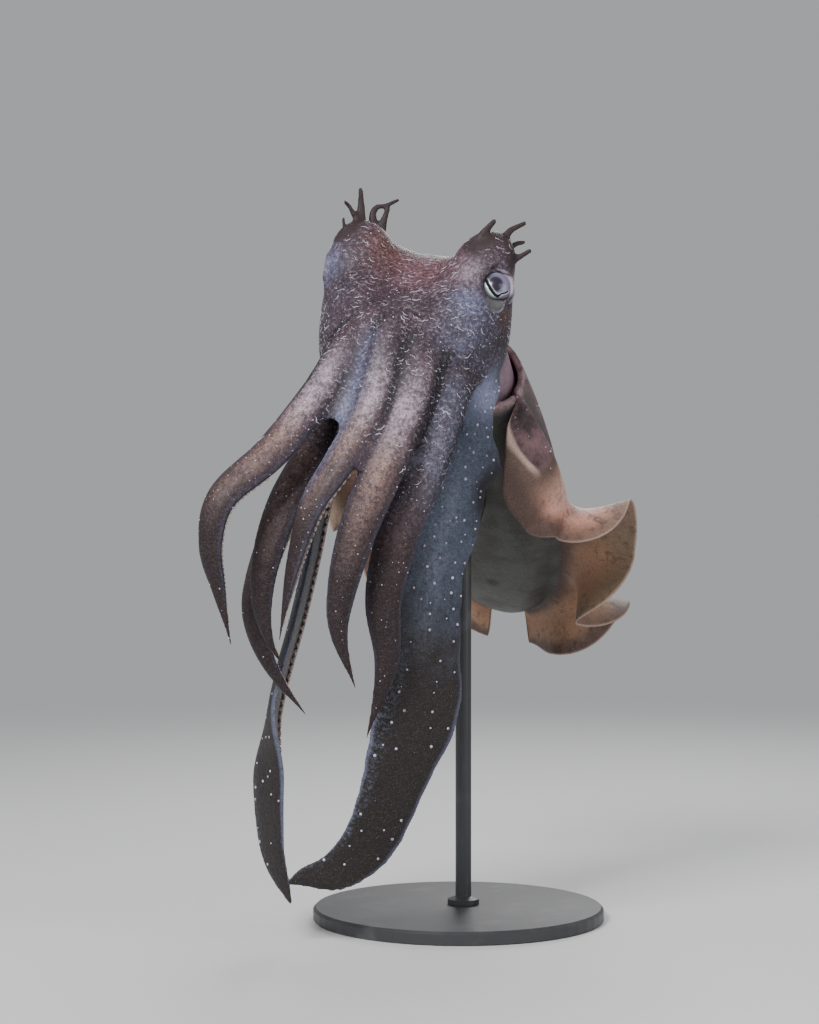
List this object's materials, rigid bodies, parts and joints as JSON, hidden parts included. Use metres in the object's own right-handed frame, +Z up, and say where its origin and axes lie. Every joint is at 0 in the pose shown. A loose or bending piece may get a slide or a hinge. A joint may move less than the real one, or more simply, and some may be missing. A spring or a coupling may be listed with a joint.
{
  "type": "giant australian cuttlefish display model",
  "caption": "Life-size giant cuttlefish hovering head-up on a plain round stand, arms hanging in front, frilled fins along a flattened mantle.",
  "frame": {"origin": "middle of the stand's flat underside, on the floor", "axes": "+Z up; -Y is the side that the animal faces, seen as in the picture; +X is the side of the animal's left eye"},
  "size_m": [0.3219, 0.3925, 0.5451],
  "materials": {
    "skin": "moist skin, mottled brown",
    "mantle_skin": "moist skin, grey-brown",
    "fin_skin": "thin moist skin, orange-brown",
    "mouth_skin": "moist pale skin",
    "eye": "wet silvery eye",
    "stand_paint": "satin black paint"
  },
  "bodies": {
    "root": {"head": "skin", "arm_crown": "skin", "eye_left": "eye", "eye_right": "eye", "mouth": "mouth_skin", "funnel": "skin", "mantle": "mantle_skin", "fin_left_fore": "fin_skin", "fin_left_middle": "fin_skin", "fin_left_hind": "fin_skin", "fin_right_fore": "fin_skin", "fin_right_middle": "fin_skin", "fin_right_hind": "fin_skin", "arm_left_1_base": "skin", "arm_left_1_middle": "skin", "arm_left_1_tip": "skin", "arm_left_2_base": "skin", "arm_left_2_middle": "skin", "arm_left_2_tip": "skin", "arm_left_3_base": "skin", "arm_left_3_middle": "skin", "arm_left_3_tip": "skin", "arm_left_4_base": "skin", "arm_left_4_middle": "skin", "arm_left_4_tip": "skin", "arm_right_1_base": "skin", "arm_right_1_middle": "skin", "arm_right_1_tip": "skin", "arm_right_2_base": "skin", "arm_right_2_middle": "skin", "arm_right_2_tip": "skin", "arm_right_3_base": "skin", "arm_right_3_middle": "skin", "arm_right_3_tip": "skin", "arm_right_4_base": "skin", "arm_right_4_middle": "skin", "arm_right_4_tip": "skin", "stand_base": "stand_paint", "stand_rod": "stand_paint"}
  },
  "joints": []
}
